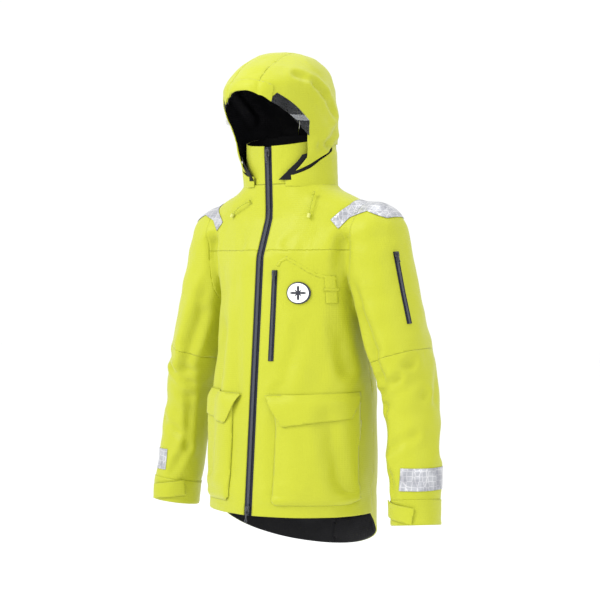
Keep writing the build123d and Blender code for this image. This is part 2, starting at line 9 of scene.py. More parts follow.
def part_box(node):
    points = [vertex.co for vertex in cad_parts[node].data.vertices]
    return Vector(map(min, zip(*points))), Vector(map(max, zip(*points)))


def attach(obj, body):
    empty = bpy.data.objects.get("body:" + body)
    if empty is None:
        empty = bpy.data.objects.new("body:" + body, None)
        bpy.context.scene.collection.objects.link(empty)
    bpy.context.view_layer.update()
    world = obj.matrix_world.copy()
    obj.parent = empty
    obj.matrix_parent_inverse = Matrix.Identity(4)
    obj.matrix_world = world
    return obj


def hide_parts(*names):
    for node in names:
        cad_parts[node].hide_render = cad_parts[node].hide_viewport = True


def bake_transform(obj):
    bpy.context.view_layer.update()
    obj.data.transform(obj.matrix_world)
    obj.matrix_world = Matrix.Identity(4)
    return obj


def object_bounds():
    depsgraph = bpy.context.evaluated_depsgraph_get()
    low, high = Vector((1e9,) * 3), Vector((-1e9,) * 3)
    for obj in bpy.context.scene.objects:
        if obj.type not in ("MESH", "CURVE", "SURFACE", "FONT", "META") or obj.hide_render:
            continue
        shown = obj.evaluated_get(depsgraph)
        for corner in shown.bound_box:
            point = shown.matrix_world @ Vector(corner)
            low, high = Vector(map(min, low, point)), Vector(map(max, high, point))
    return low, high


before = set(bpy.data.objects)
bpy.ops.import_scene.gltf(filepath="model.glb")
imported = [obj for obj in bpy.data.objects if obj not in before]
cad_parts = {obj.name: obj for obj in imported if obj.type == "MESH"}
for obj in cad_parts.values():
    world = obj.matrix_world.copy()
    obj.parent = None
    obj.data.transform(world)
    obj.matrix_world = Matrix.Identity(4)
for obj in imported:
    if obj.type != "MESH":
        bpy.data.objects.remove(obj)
CAD_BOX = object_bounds()

# ------------------------------------------------------------------ camera, lights and floor
TARGET = Vector((0.007, 0.005, -0.232))
AZIMUTH = math.radians(36.0)
ELEVATION = math.radians(1.0)
DISTANCE = 3.583
LENS = 100.0

YOKE_Z = -0.126
SIDE_Y = 0.020
GAP = 0.0002  # half the width of a seam line
CLOTH = 0.0022
ZIP_EDGE = 0.0097  # how far from the middle the cloth stops beside the main zip
SIDES = ((1, "left"), (-1, "right"))


def add_camera():
    back = Vector((
        math.sin(AZIMUTH) * math.cos(ELEVATION),
        -math.cos(AZIMUTH) * math.cos(ELEVATION),
        math.sin(ELEVATION),
    ))
    data = bpy.data.cameras.new("camera")
    data.lens = LENS
    camera = bpy.data.objects.new("camera", data)
    camera.location = TARGET + back * DISTANCE
    camera.rotation_mode = "QUATERNION"
    camera.rotation_quaternion = (-back).to_track_quat("-Z", "Y")
    bpy.context.scene.collection.objects.link(camera)
    bpy.context.scene.camera = camera


def add_light(name, place, size, watts):
    data = bpy.data.lights.new(name, "AREA")
    data.size = size
    data.energy = watts
    light = bpy.data.objects.new(name, data)
    light.location = place
    light.rotation_mode = "QUATERNION"
    light.rotation_quaternion = (TARGET - Vector(place)).to_track_quat("-Z", "Y")
    bpy.context.scene.collection.objects.link(light)


def add_studio():
    add_light("key", (-1.2, -2.6, 1.9), 1.3, 78)
    add_light("fill", (3.0, -1.6, 0.6), 2.2, 26)
    add_light("top", (0.3, 0.4, 2.6), 2.0, 24)
    world = bpy.data.worlds.new("studio")
    world.use_nodes = True
    world.node_tree.nodes["Background"].inputs["Color"].default_value = (1.0, 1.0, 1.0, 1.0)
    world.node_tree.nodes["Background"].inputs["Strength"].default_value = 1.03
    bpy.context.scene.world = world
    bpy.context.scene.view_settings.view_transform = "Standard"
    floor = bmesh.new()
    bmesh.ops.create_grid(floor, x_segments=1, y_segments=1, size=14.0)
    bmesh.ops.translate(floor, verts=floor.verts, vec=(0, 0, CAD_BOX[0].z - 0.35))
    stage = to_object("floor", floor, [plain("floor_white", (0.99, 0.99, 0.99), 0.9)])


# ------------------------------------------------------------------ materials
# cloth: cycles per metre of its colour drift, grain and slow creases, and their heights in threads
DRIFT_SCALE = 7.0
GRAIN_SCALE = 320.0
GRAIN_HEIGHT = 1.5
CREASE_SCALE = 15.0
CREASE_TWIST = 1.1
CREASE_HEIGHT = 16.0
PAINTED_REFLECTION_Z = 0.146  # height and half width of the pale streak painted on the window as a reflection
PAINTED_REFLECTION_HALF = 0.0055


def new_material(name):
    material = bpy.data.materials.new(name)
    material.use_nodes = True
    return material, material.node_tree, material.node_tree.nodes["Principled BSDF"]


def feed(tree, node, values):
    """Fills a node's inputs, each with a value or with another node's output."""
    for name, value in values.items():
        if hasattr(value, "links"):
            tree.links.new(value, node.inputs[name])
        else:
            node.inputs[name].default_value = value
    return node


def add_node(tree, kind, values, **options):
    node = tree.nodes.new("ShaderNode" + kind)
    for name, value in options.items():
        setattr(node, name, value)
    return feed(tree, node, values)


def compute(tree, operation, *values):
    return add_node(tree, "Math", dict(enumerate(values)), operation=operation).outputs[0]


def times(tree, a, b):
    return compute(tree, "MULTIPLY", a, b)


def plus(tree, a, b):
    return compute(tree, "ADD", a, b)


def ramp_node(tree, value, low, high):
    """A two-stop colour ramp; each stop is (position, red, green, blue)."""
    ramp = add_node(tree, "ValToRGB", {"Fac": value})
    for element, (position, *colour) in zip(ramp.color_ramp.elements, (low, high)):
        element.position = position
        element.color = (*colour, 1)
    return ramp.outputs["Color"]


def noise_node(tree, place, scale, detail, distortion=0.0):
    values = {"Vector": place, "Scale": scale, "Detail": detail, "Distortion": distortion}
    return add_node(tree, "TexNoise", values).outputs["Fac"]


def mix_node(tree, factor, a, b, blend_type="MIX"):
    values = {"Factor": factor, "A": a, "B": b}
    return add_node(tree, "Mix", values, data_type="RGBA", blend_type=blend_type).outputs["Result"]


def bump_node(tree, height, distance):
    return add_node(tree, "Bump", {"Height": height, "Distance": distance}).outputs["Normal"]


def object_place(tree):
    return add_node(tree, "TexCoord", {}).outputs["Object"]


def split_axes(tree, place):
    return add_node(tree, "SeparateXYZ", {0: place}).outputs


def plain(name, colour, roughness):
    material, tree, shader = new_material(name)
    feed(tree, shader, {"Base Color": (*colour, 1), "Roughness": roughness})
    return material


def weave_group():
    """Woven cloth: a fine plain weave, slow colour drift and soft handling wear."""
    group = bpy.data.node_groups.new("woven_cloth", "ShaderNodeTree")
    for name, direction, kind, value in (
            ("Threads per metre", "INPUT", "Float", 1500.0),
            ("Light", "INPUT", "Color", (1, 1, 1, 1)),
            ("Dark", "INPUT", "Color", (0, 0, 0, 1)),
            ("Colour", "OUTPUT", "Color", None),
            ("Height", "OUTPUT", "Float", None),
            ("Roughness", "OUTPUT", "Float", None)):
        made = group.interface.new_socket(name=name, in_out=direction, socket_type="NodeSocket" + kind)
        if value is not None:
            made.default_value = value
    given = group.nodes.new("NodeGroupInput").outputs
    result = group.nodes.new("NodeGroupOutput")
    place = object_place(group)
    axes = split_axes(group, place)
    threads = []
    for axis in ("X", "Y", "Z"):
        wave = compute(group, "SINE", times(group, axes[axis], given["Threads per metre"]))
        threads.append(times(group, wave, 0.5))
    weave = plus(group, compute(group, "MAXIMUM", threads[0], threads[1]), threads[2])
    drift = noise_node(group, place, DRIFT_SCALE, 5.0)
    grain = noise_node(group, place, GRAIN_SCALE, 3.0)
    crease = noise_node(group, place, CREASE_SCALE, 2.0, CREASE_TWIST)
    mixed = plus(group, times(group, drift, 0.7), times(group, grain, 0.3))
    relief = plus(group, times(group, grain, GRAIN_HEIGHT), times(group, crease, CREASE_HEIGHT))
    feed(group, result, {
        "Colour": mix_node(group, mixed, given["Dark"], given["Light"]),
        "Height": plus(group, weave, relief),
        "Roughness": plus(group, times(group, drift, 0.18), 0.42),
    })
    return group


WEAVE = weave_group()


def cloth(name, light, dark, threads=1500.0, bump=0.00012, sheen=0.12, gloss=0.30):
    material, tree, shader = new_material(name)
    node = tree.nodes.new("ShaderNodeGroup")
    node.node_tree = WEAVE
    feed(tree, node, {"Threads per metre": threads, "Light": (*light, 1), "Dark": (*dark, 1)})
    feed(tree, shader, {
        "Base Color": node.outputs["Colour"],
        "Roughness": node.outputs["Roughness"],
        "Normal": bump_node(tree, node.outputs["Height"], bump),
        "Sheen Weight": sheen,
        "Specular IOR Level": gloss,
    })
    return material


def reflective():
    """Silver tape: a lattice of sealed cells with darker creases and bright glints painted into the colour as
    highlights.
    """
    material, tree, shader = new_material("silver_tape")
    place = object_place(tree)
    values = {"Scale": 95.0, "Randomness": 0.25, "Vector": place}
    cells = add_node(tree, "TexVoronoi", values, feature="DISTANCE_TO_EDGE").outputs["Distance"]
    line = ramp_node(tree, cells, (0.03, 0.62, 0.62, 0.64), (0.09, 0.43, 0.44, 0.47))
    # painted highlight: noise that brightens the base colour in patches as painted glints, and lowers the
    # roughness there
    painted_glint = noise_node(tree, place, 45.0, 4.0)
    painted_glint_tint = ramp_node(tree, painted_glint, (0.35, 0.55, 0.55, 0.58), (0.62, 1, 1, 1))
    feed(tree, shader, {
        "Base Color": mix_node(tree, 0.85, line, painted_glint_tint, "MULTIPLY"),
        "Metallic": 0.35,
        "Roughness": compute(tree, "MULTIPLY_ADD", painted_glint, -0.4, 0.55),
        "Normal": bump_node(tree, cells, 0.0008),
    })
    return material


def zip_coil(name, pitch):
    """Black coil: ridges across the chain with grey crests painted on as highlights."""
    material, tree, shader = new_material(name)
    height = split_axes(tree, object_place(tree))["Z"]
    ridge = compute(tree, "SINE", times(tree, height, 2 * math.pi / pitch))
    # painted highlight: the crest of each ridge is painted grey into the base colour
    painted_crest_highlight = compute(tree, "MULTIPLY_ADD", ridge, 0.5, 0.5)
    feed(tree, shader, {
        "Base Color": ramp_node(tree, painted_crest_highlight, (0.0, 0.012, 0.014, 0.025), (0.9, 0.10, 0.11, 0.14)),
        "Normal": bump_node(tree, ridge, 0.0005),
        "Roughness": 0.32,
    })
    return material


def enamel(name, colour, roughness):
    """Painted metal with fine scratches and scattered spots worn to bare metal."""
    material, tree, shader = new_material(name)
    scratch = noise_node(tree, object_place(tree), 900.0, 6.0)
    feed(tree, shader, {
        "Base Color": ramp_node(tree, scratch, (0.45, *colour), (0.8, 0.30, 0.30, 0.32)),
        "Roughness": compute(tree, "MULTIPLY_ADD", scratch, 0.3, roughness),
        "Metallic": 0.6,
        "Normal": bump_node(tree, scratch, 0.0001),
    })
    return material


def window_film():
    """Clear film with a faint haze and one paler streak painted across it as a reflection."""
    material, tree, shader = new_material("window_film")
    place = object_place(tree)
    haze = noise_node(tree, place, 25.0, 2.0)
    # painted reflection: a band of higher alpha lets the pale base colour show as a streak
    painted_reflection = compute(tree, "COMPARE", split_axes(tree, place)["Z"], PAINTED_REFLECTION_Z, PAINTED_REFLECTION_HALF)
    feed(tree, shader, {
        "Alpha": plus(tree, times(tree, haze, 0.05), times(tree, painted_reflection, 0.16)),
        "Base Color": (0.62, 0.64, 0.67, 1),
        "Roughness": 0.10,
        "Specular IOR Level": 0.12,
        "Normal": bump_node(tree, haze, 0.002),
    })
    return material


def badge_print(centre, radius):
    """White disc, dark rim and a plain eight-pointed star."""
    material, tree, shader = new_material("badge_print")
    axes = split_axes(tree, object_place(tree))
    across = times(tree, compute(tree, "SUBTRACT", axes["X"], centre[0]), 1 / radius)
    up = times(tree, compute(tree, "SUBTRACT", axes["Z"], centre[1]), 1 / radius)
    far = compute(tree, "SQRT", plus(tree, times(tree, across, across), times(tree, up, up)))
    turn = times(tree, compute(tree, "ARCTAN2", up, across), 2.0)
    points = compute(tree, "ABSOLUTE", compute(tree, "COSINE", turn))
    between = compute(tree, "ABSOLUTE", compute(tree, "SINE", turn))
    long = times(tree, compute(tree, "POWER", points, 5.0), 0.54)
    short = times(tree, compute(tree, "POWER", between, 9.0), 0.26)
    star = compute(tree, "LESS_THAN", far, plus(tree, plus(tree, long, short), 0.13))
    rim = compute(tree, "GREATER_THAN", far, 0.88)
    dark = compute(tree, "MAXIMUM", star, rim)
    feed(tree, shader, {
        "Base Color": mix_node(tree, dark, (0.86, 0.87, 0.86, 1), (0.016, 0.018, 0.03, 1)),
        "Roughness": compute(tree, "MULTIPLY_ADD", dark, -0.12, 0.5),
    })
    return material


# ------------------------------------------------------------------ making pieces
def to_object(name, shape, materials, smooth=True):
    mesh = bpy.data.meshes.new(name)
    shape.to_mesh(mesh)
    shape.free()
    for material in materials:
        mesh.materials.append(material)
    for face in mesh.polygons:
        face.use_smooth = smooth
    made = bpy.data.objects.new(name, mesh)
    bpy.context.scene.collection.objects.link(made)
    return made


YELLOW = cloth("yellow_shell", (0.450, 0.475, 0.024), (0.380, 0.410, 0.010))
LINING = cloth("black_lining", (0.012, 0.012, 0.014), (0.006, 0.006, 0.007), sheen=0.0, gloss=0.10)
GREY_LINING = cloth("grey_lining", (0.045, 0.055, 0.058), (0.03, 0.036, 0.04), sheen=0.0, gloss=0.15)
SILVER = reflective()
ZIP_TAPE = cloth("zip_tape", (0.014, 0.016, 0.03), (0.008, 0.009, 0.018), threads=5000.0, sheen=0.0, gloss=0.2)
COIL = zip_coil("zip_coil", 0.0016)
ENAMEL = enamel("black_enamel", (0.015, 0.017, 0.024), 0.28)
FILM = window_film()


def finish_piece(piece, body, nodes=(), blend=None):
    if blend:
        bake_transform(piece)
    else:
        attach(piece, body)
    if nodes:
        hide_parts(*nodes)
    return piece


def thicken(piece, thickness, offset=-1.0, inside=None):
    solid = piece.modifiers.new("thickness", "SOLIDIFY")
    solid.thickness = thickness
    solid.offset = offset
    if inside:
        piece.data.materials.append(inside)
        solid.material_offset = len(piece.data.materials) - 1
    return piece


def shell_piece(name, shape, body, nodes=(), blend=None, inside=LINING):
    """A piece of the yellow shell, lined on its inner face."""
    piece = thicken(to_object(name, shape, [YELLOW]), CLOTH, -1.0, inside)
    return finish_piece(piece, body, nodes, blend)


def lining_piece(name, shape, body, thickness, nodes=(), offset=-1.0):
    piece = thicken(to_object(name, shape, [LINING]), thickness, offset)
    return finish_piece(piece, body, nodes)


def share(value):
    """A number kept between 0 and 1."""
    return min(max(value, 0.0), 1.0)


def push(shape, distance):
    """Moves every vertex along its normal by what distance says of its place."""
    shape.normal_update()
    moves = [(vert, vert.normal * distance(vert.co)) for vert in shape.verts]
    for vert, move in moves:
        vert.co += move


def rectangle(u0, v0, u1, v1):
    return [(u0, v0), (u1, v0), (u1, v1), (u0, v1)]


def on_side(outline, side):
    """An outline drawn for the left, mirrored for the right."""
    return [(u * side, v) for u, v in outline][::side]


def smoothly(points, value, column):
    """Smooth interpolation through rows sorted by their first column."""
    for i in range(len(points) - 1):
        a, b = points[i], points[i + 1]
        if a[0] <= value <= b[0]:
            break
    t = (value - a[0]) / (b[0] - a[0])
    before = points[max(i - 1, 0)]
    after = points[min(i + 2, len(points) - 1)]
    rise = (b[column] - a[column]) / (b[0] - a[0])
    slope_a = slope_between(before, a, b, column) * (b[0] - a[0])
    slope_b = slope_between(a, b, after, column) * (b[0] - a[0])
    if rise == 0:
        slope_a = slope_b = 0
    t2, t3 = t * t, t * t * t
    return (
        (2 * t3 - 3 * t2 + 1) * a[column]
        + (t3 - 2 * t2 + t) * slope_a
        + (3 * t2 - 2 * t3) * b[column]
        + (t3 - t2) * slope_b
    )


def slope_between(a, b, c, column):
    """Slope at b that never overshoots its neighbours."""
    if a is b or b is c:
        return 0.0 if a is b and b is c else (c[column] - a[column]) / (c[0] - a[0])
    left = (b[column] - a[column]) / (b[0] - a[0])
    right = (c[column] - b[column]) / (c[0] - b[0])
    return 0.0 if left * right <= 0 else 2 * left * right / (left + right)


def tube(frames, segments=64):
    """A closed skin through rings, each given as centre, sideways and foreaft half-size vectors."""
    shape = bmesh.new()
    loops = []
    for centre, across, along in frames:
        up = across.cross(along).normalized()
        place = Matrix((across, along, up)).transposed().to_4x4()
        place.translation = centre
        ring = bmesh.ops.create_circle(shape, segments=segments, radius=1.0, matrix=place)
        loops.append(list({edge for vert in ring["verts"] for edge in vert.link_edges}))
    for low, high in zip(loops, loops[1:]):
        bmesh.ops.bridge_loops(shape, edges=low + high)
    for loop in (loops[0], loops[-1]):
        bmesh.ops.contextual_create(shape, geom=loop)
    bmesh.ops.recalc_face_normals(shape, faces=shape.faces)
    return shape


# ------------------------------------------------------------------ the body's form
# height, half width, front and back; the front follows the zip
BODY = [
    (-0.803, 0.188, -0.1702, 0.150),
    (-0.676, 0.188, -0.1690, 0.149),
    (-0.560, 0.190, -0.1609, 0.145),
    (-0.437, 0.188, -0.1513, 0.140),
    (-0.310, 0.170, -0.1412, 0.130),
    (-0.235, 0.166, -0.1354, 0.125),
    (-0.140, 0.184, -0.1280, 0.112),
    (-0.100, 0.194, -0.1130, 0.100),
    (-0.060, 0.201, -0.0985, 0.082),
    (-0.036, 0.196, -0.0960, 0.070),
    (-0.020, 0.172, -0.0960, 0.062),
    (-0.006, 0.138, -0.0965, 0.058),
    (0.010, 0.112, -0.0975, 0.056),
    (0.040, 0.104, -0.0988, 0.052),
    (0.130, 0.098, -0.1025, 0.048),
]
ARM = [
    (0.097, (0.198, 0.002, -0.097), 0.066, 0.068),
    (0.125, (0.207, 0.001, -0.125), 0.068, 0.071),
    (0.227, (0.235, 0.000, -0.227), 0.063, 0.074),
    (0.332, (0.262, 0.003, -0.332), 0.062, 0.074),
    (0.420, (0.287, 0.004, -0.420), 0.056, 0.062),
    (0.542, (0.304, -0.007, -0.542), 0.051, 0.055),
    (0.686, (0.319, -0.022, -0.686), 0.048, 0.053),
    (0.740, (0.3246, -0.0276, -0.740), 0.047, 0.052),
]
SHOULDER_BALL = (Vector((0.198, 0.002, -0.097)), Vector((0.0705, 0.072, 0.0700)))
ARM_END = 0.686


def ring(z, half, middle, depth):
    return Vector((0, middle, z)), Vector((half, 0, 0)), Vector((0, depth, 0))


def body_frames():
    low, high = BODY[0][0], BODY[-1][0]
    steps = 60
    for i in range(steps + 1):
        z = low + (high - low) * i / steps
        half, front, back = (smoothly(BODY, z, column) for column in (1, 2, 3))
        yield ring(z, half, (front + back) / 2, (back - front) / 2)


def arm_axis(s, side=1):
    """Centre of an arm at a distance down it, and the way it runs."""
    rows = [(row[0], *row[1], row[2], row[3]) for row in ARM]
    s = min(max(s, rows[0][0]), rows[-1][0])
    here = Vector(smoothly(rows, s, column) for column in (1, 2, 3))
    step = 0.004
    ends = [min(max(s + d, rows[0][0]), rows[-1][0]) for d in (-step, step)]
    run = [Vector(smoothly(rows, e, column) for column in (1, 2, 3)) for e in ends]
    way = (run[1] - run[0]).normalized()
    sizes = smoothly(rows, s, 4), smoothly(rows, s, 5)
    return Vector((here.x * side, here.y, here.z)), Vector((way.x * side, way.y, way.z)), sizes


def arm_frames(side):
    steps = 44
    for i in range(steps + 1):
        s = ARM[0][0] + (ARM[-1][0] - ARM[0][0]) * i / steps
        centre, way, (across, along) = arm_axis(s, side)
        sideways = Vector((-way.z, 0, way.x)).normalized()
        foreaft = way.cross(sideways).normalized()
        yield centre, sideways * across, foreaft * along


def shoulder_ball(side):
    """The rounded top of a sleeve."""
    shape = bmesh.new()
    centre, radii = SHOULDER_BALL
    place = Matrix.Translation((centre.x * side, centre.y, centre.z)) @ Matrix.Diagonal((*radii, 1))
    bmesh.ops.create_icosphere(shape, subdivisions=4, radius=1.0, matrix=place)
    return shape


def smoothed(shape, rounds):
    for _ in range(rounds):
        bmesh.ops.smooth_vert(shape, verts=shape.verts, factor=0.5,
                              use_axis_x=True, use_axis_y=True, use_axis_z=True)


def join_shapes(shapes):
    mesh = bpy.data.meshes.new("form")
    whole = bmesh.new()
    for shape in shapes:
        shape.to_mesh(mesh)
        shape.free()
        whole.from_mesh(mesh)
    bpy.data.meshes.remove(mesh)
    return whole


def remeshed(shape, voxel):
    """The closed outer skin of overlapping shapes, as even quads."""
    form = to_object("form", shape, [])
    skin = form.modifiers.new("skin", "REMESH")
    skin.mode = "VOXEL"
    skin.voxel_size = voxel
    evaluated = form.evaluated_get(bpy.context.evaluated_depsgraph_get())
    result = bmesh.new()
    result.from_mesh(evaluated.to_mesh())
    bpy.data.objects.remove(form)
    return result


# ------------------------------------------------------------------ folds
# start, end, half width and depth of each fold in the cloth; a negative depth is a ridge
TORSO_FOLDS = [
    ((0.172, -0.070, -0.110), (0.168, -0.100, -0.300), 0.016, 0.008),
    ((0.150, -0.120, -0.150), (0.178, -0.060, -0.370), 0.020, 0.006),
    ((0.110, -0.110, -0.030), (0.060, -0.120, -0.110), 0.012, 0.003),
    ((-0.110, -0.110, -0.030), (-0.060, -0.120, -0.110), 0.012, 0.003),
    ((-0.172, -0.070, -0.110), (-0.168, -0.100, -0.300), 0.016, 0.008),
    ((0.100, -0.130, -0.300), (0.060, -0.150, -0.420), 0.020, 0.003),
    ((0.150, -0.100, -0.470), (0.175, -0.070, -0.660), 0.020, 0.004),
    ((0.060, -0.155, -0.500), (0.070, -0.165, -0.676), 0.022, 0.003),
    ((-0.070, -0.150, -0.200), (-0.050, -0.150, -0.420), 0.022, 0.004),
    ((-0.120, -0.110, -0.300), (-0.130, -0.110, -0.600), 0.026, 0.005),
    ((0.090, 0.110, -0.150), (0.120, 0.110, -0.420), 0.026, 0.005),
    ((-0.090, 0.110, -0.150), (-0.120, 0.110, -0.420), 0.026, 0.005),
    ((0.000, 0.120, -0.300), (0.030, 0.140, -0.650), 0.030, 0.004),
    ((-0.060, 0.130, -0.420), (-0.070, 0.140, -0.700), 0.026, 0.004),
]
ARM_FOLDS = [
    ((0.190, -0.060, -0.200), (0.250, -0.070, -0.330), 0.014, 0.006),
    ((0.205, -0.055, -0.260), (0.262, -0.068, -0.390), 0.012, 0.006),
    ((0.235, -0.060, -0.400), (0.330, -0.040, -0.350), 0.010, 0.005),
    ((0.238, -0.050, -0.425), (0.300, -0.060, -0.385), 0.008, 0.006),
    ((0.245, -0.052, -0.455), (0.335, -0.020, -0.420), 0.010, 0.005),
    ((0.255, -0.050, -0.470), (0.262, -0.050, -0.560), 0.010, 0.006),
    ((0.262, -0.062, -0.540), (0.330, -0.045, -0.500), 0.010, 0.004),
    ((0.290, -0.072, -0.615), (0.262, -0.050, -0.560), 0.010, 0.005),
    ((0.350, 0.010, -0.430), (0.340, 0.050, -0.360), 0.012, 0.004),
    ((0.260, 0.078, -0.260), (0.300, 0.060, -0.420), 0.014, 0.005),
    ((0.240, 0.070, -0.180), (0.210, 0.070, -0.300), 0.014, 0.005),
    ((0.300, 0.050, -0.440), (0.345, 0.020, -0.540), 0.012, 0.004),
]


def fold_depth(point, folds):
    """How far the cloth sinks at a point: a rounded valley with a soft ridge beside it."""
    total = 0.0
    for start, end, width, depth in folds:
        a, b = Vector(start), Vector(end)
        along = b - a
        t = (point - a).dot(along) / along.length_squared
        away = (point - a - along * share(t)).length / width
        if away > 3.5:
            continue
        total += depth * (math.exp(-away * away) - 0.45 * math.exp(-((away - 1.7) ** 2)))
    return total


def ripple(point, scale, seed):
    return noise.noise(Vector((point.x * scale[0] + seed, point.y * scale[1], point.z * scale[2])))


def crumple(shape, side_folds, arm_folds):
    """Moves the skin in and out by its folds and by slow, shallow waves."""

    def depth(p):
        arm = share((abs(p.x) - 0.185) / 0.03)
        mirrored = Vector((abs(p.x), p.y, p.z))
        sink = 1.5 * fold_depth(p, side_folds) * (1 - arm) + 1.5 * fold_depth(mirrored, arm_folds) * arm
        wave = 0.0030 * ripple(p, (14, 14, 6), 3.1) + 0.0012 * ripple(p, (40, 40, 22), 8.7)
        wave += arm * 0.0034 * ripple(p, (18, 18, 24), 5.5)
        return wave - sink

    push(shape, depth)


def outer_skins():
    """The frame's own solids, as one surface to lay zips and tabs against."""
    whole = bmesh.new()
    for node in ("front_panel_left", "front_panel_right", "front_yoke_left", "front_yoke_right",
                 "face_guard_left", "face_guard_right", "sleeve_upper_left"):
        whole.from_mesh(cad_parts[node].data)
    tree = BVHTree.FromBMesh(whole)
    whole.free()
    return tree


def zip_reach(p):
    """1 beside a zip, where the cloth has to lie exactly on the frame, falling to 0 away from it."""
    main = math.exp(-((max(abs(p.x) - 0.012, 0) / 0.018) ** 2)) if p.y < 0 else 0.0
    chest = 0.0
    if p.y < 0 and -0.40 < p.z < -0.14:
        chest = math.exp(-((max(abs(p.x - 0.039) - 0.010, 0) / 0.016) ** 2))
    a, b = Vector(SLEEVE_ZIP[0]), Vector(SLEEVE_ZIP[1])
    t = share((p - a).dot(b - a) / (b - a).length_squared)
    away = (p - a - (b - a) * t).length
    sleeve = math.exp(-((max(away - 0.010, 0) / 0.014) ** 2))
    return max(main, chest, sleeve)


def settle(shape, skins):
    shape.normal_update()
    moves = []
    for vert in shape.verts:
        weight = zip_reach(vert.co)
        if weight < 0.02:
            continue
        start = vert.co + vert.normal * 0.003
        if abs(start.x) < ZIP_EDGE:
            start.x = math.copysign(ZIP_EDGE, start.x or 1.0)
        found = skins.find_nearest(start, 0.02)[0]
        if found is not None:
            goal = Vector((vert.co.x, found.y, vert.co.z)) if abs(vert.co.x) < ZIP_EDGE else found
            moves.append((vert, vert.co.lerp(goal, weight)))
    for vert, goal in moves:
        vert.co = goal


zip_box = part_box("sleeve_zip_tape")
SLEEVE_ZIP = (
    (zip_box[0].x + 0.006, (zip_box[0].y + zip_box[1].y) / 2, zip_box[1].z),
    (zip_box[1].x - 0.004, (zip_box[0].y + zip_box[1].y) / 2, zip_box[0].z),
)


# ------------------------------------------------------------------ cutting the skin into panels
def islands(shape):
    """Splits a mesh's faces into its loose parts, each a set of faces."""
    shape.verts.ensure_lookup_table()
    left = set(shape.faces)
    groups = []
    while left:
        seed = left.pop()
        group, edge_of = {seed}, [seed]
        while edge_of:
            face = edge_of.pop()
            for edge in face.edges:
                for other in edge.link_faces:
                    if other in left:
                        left.discard(other)
                        group.add(other)
                        edge_of.append(other)
        groups.append(group)
    return groups


def copy_faces(shape, keep):
    """A new mesh from the faces that keep accepts."""
    fresh = shape.copy()
    drop = [face for face in fresh.faces if not keep(face.calc_center_median())]
    bmesh.ops.delete(fresh, geom=drop, context="FACES")
    return fresh


def slice_off(shape, point, normal, keep_outer=False):
    bmesh.ops.bisect_plane(
        shape,
        geom=shape.verts[:] + shape.edges[:] + shape.faces[:],
        plane_co=point,
        plane_no=normal,
        clear_outer=not keep_outer,
        clear_inner=keep_outer,
    )


def inside(outline, u, v):
    """Whether a point lies in a closed outline."""
    hit = False
    for (u0, v0), (u1, v1) in zip(outline, outline[1:] + outline[:1]):
        if (v0 > v) != (v1 > v) and u < u0 + (u1 - u0) * (v - v0) / (v1 - v0):
            hit = not hit
    return hit


def cut_outline(shape, axes, outline, remove=False):
    """Cuts the mesh along an outline drawn in two axes and keeps, or removes, what lies inside."""
    a, b = axes
    for (u0, v0), (u1, v1) in zip(outline, outline[1:] + outline[:1]):
        point, normal = Vector((0, 0, 0)), Vector((0, 0, 0))
        point[a], point[b] = u0, v0
        normal[a], normal[b] = v1 - v0, u0 - u1
        low_u, high_u = min(u0, u1) - 0.01, max(u0, u1) + 0.01
        low_v, high_v = min(v0, v1) - 0.01, max(v0, v1) + 0.01
        near = [
            face for face in shape.faces
            if any(low_u < vert.co[a] < high_u and low_v < vert.co[b] < high_v for vert in face.verts)
        ]
        parts = {vert for face in near for vert in face.verts}
        parts |= {edge for face in near for edge in face.edges}
        bmesh.ops.bisect_plane(shape, geom=list(parts) + near, plane_co=point, plane_no=normal.normalized())
    drop = []
    for face in shape.faces:
        centre = face.calc_center_median()
        if inside(outline, centre[a], centre[b]) == remove:
            drop.append(face)
    bmesh.ops.delete(shape, geom=drop, context="FACES")
    bmesh.ops.dissolve_degenerate(shape, dist=0.0002, edges=shape.edges)


def patch(name, source, axes, outline, where, lift, thickness, materials, bulge=None, cuts=()):
    """A piece of cloth laid on the skin inside an outline, lifted off it and given a thickness."""
    a, b = axes
    margin = 0.02
    low = [min(point[i] for point in outline) - margin for i in (0, 1)]
    high = [max(point[i] for point in outline) + margin for i in (0, 1)]

    def near(p):
        return low[0] < p[a] < high[0] and low[1] < p[b] < high[1] and where(p)

    shape = copy_faces(source, near)
    cut_outline(shape, axes, outline)
    for point, normal in cuts:
        slice_off(shape, Vector(point), Vector(normal))
    push(shape, lambda p: lift + (bulge(p) if bulge else 0.0))
    return thicken(to_object(name, shape, materials), thickness, 1.0)


def edge_distance(outline, u, v):
    best = 9.0
    for (u0, v0), (u1, v1) in zip(outline, outline[1:] + outline[:1]):
        du, dv = u1 - u0, v1 - v0
        t = share(((u - u0) * du + (v - v0) * dv) / (du * du + dv * dv))
        best = min(best, math.hypot(u - u0 - du * t, v - v0 - dv * t))
    return best


def front_side(p):
    return p.y < -0.005


# ------------------------------------------------------------------ the skin and its parts
ARMHOLE_TOP = Vector((0.193, 0.0, -0.030))
ELBOW_SEAM = 0.345
ELBOW = 0.420
ELBOW_REACH = 0.055  # how far the forearm's span reaches above and below the elbow
CUFF_BAND = 0.050


def armpit(skin):
    """The saddle between the left arm and the body."""
    skin.normal_update()
    best = None
    for vert in skin.verts:
        p = vert.co
        if vert.normal.z < -0.7 and 0.15 < p.x < 0.24 and -0.42 < p.z < -0.18 and abs(p.y) < 0.02:
            if best is None or p.z > best.z:
                best = p.copy()
    low = best.z - 0.022
    near = [v for v in skin.verts
            if 0.15 < v.co.x < 0.24 and abs(v.co.z - low) < 0.006 and abs(v.co.y) < 0.012]
    body = max(v.co.x for v in near if v.normal.x > 0.8)
    arm = min(v.co.x for v in near if v.normal.x < -0.8)
    return Vector(((body + arm) / 2, 0, low))


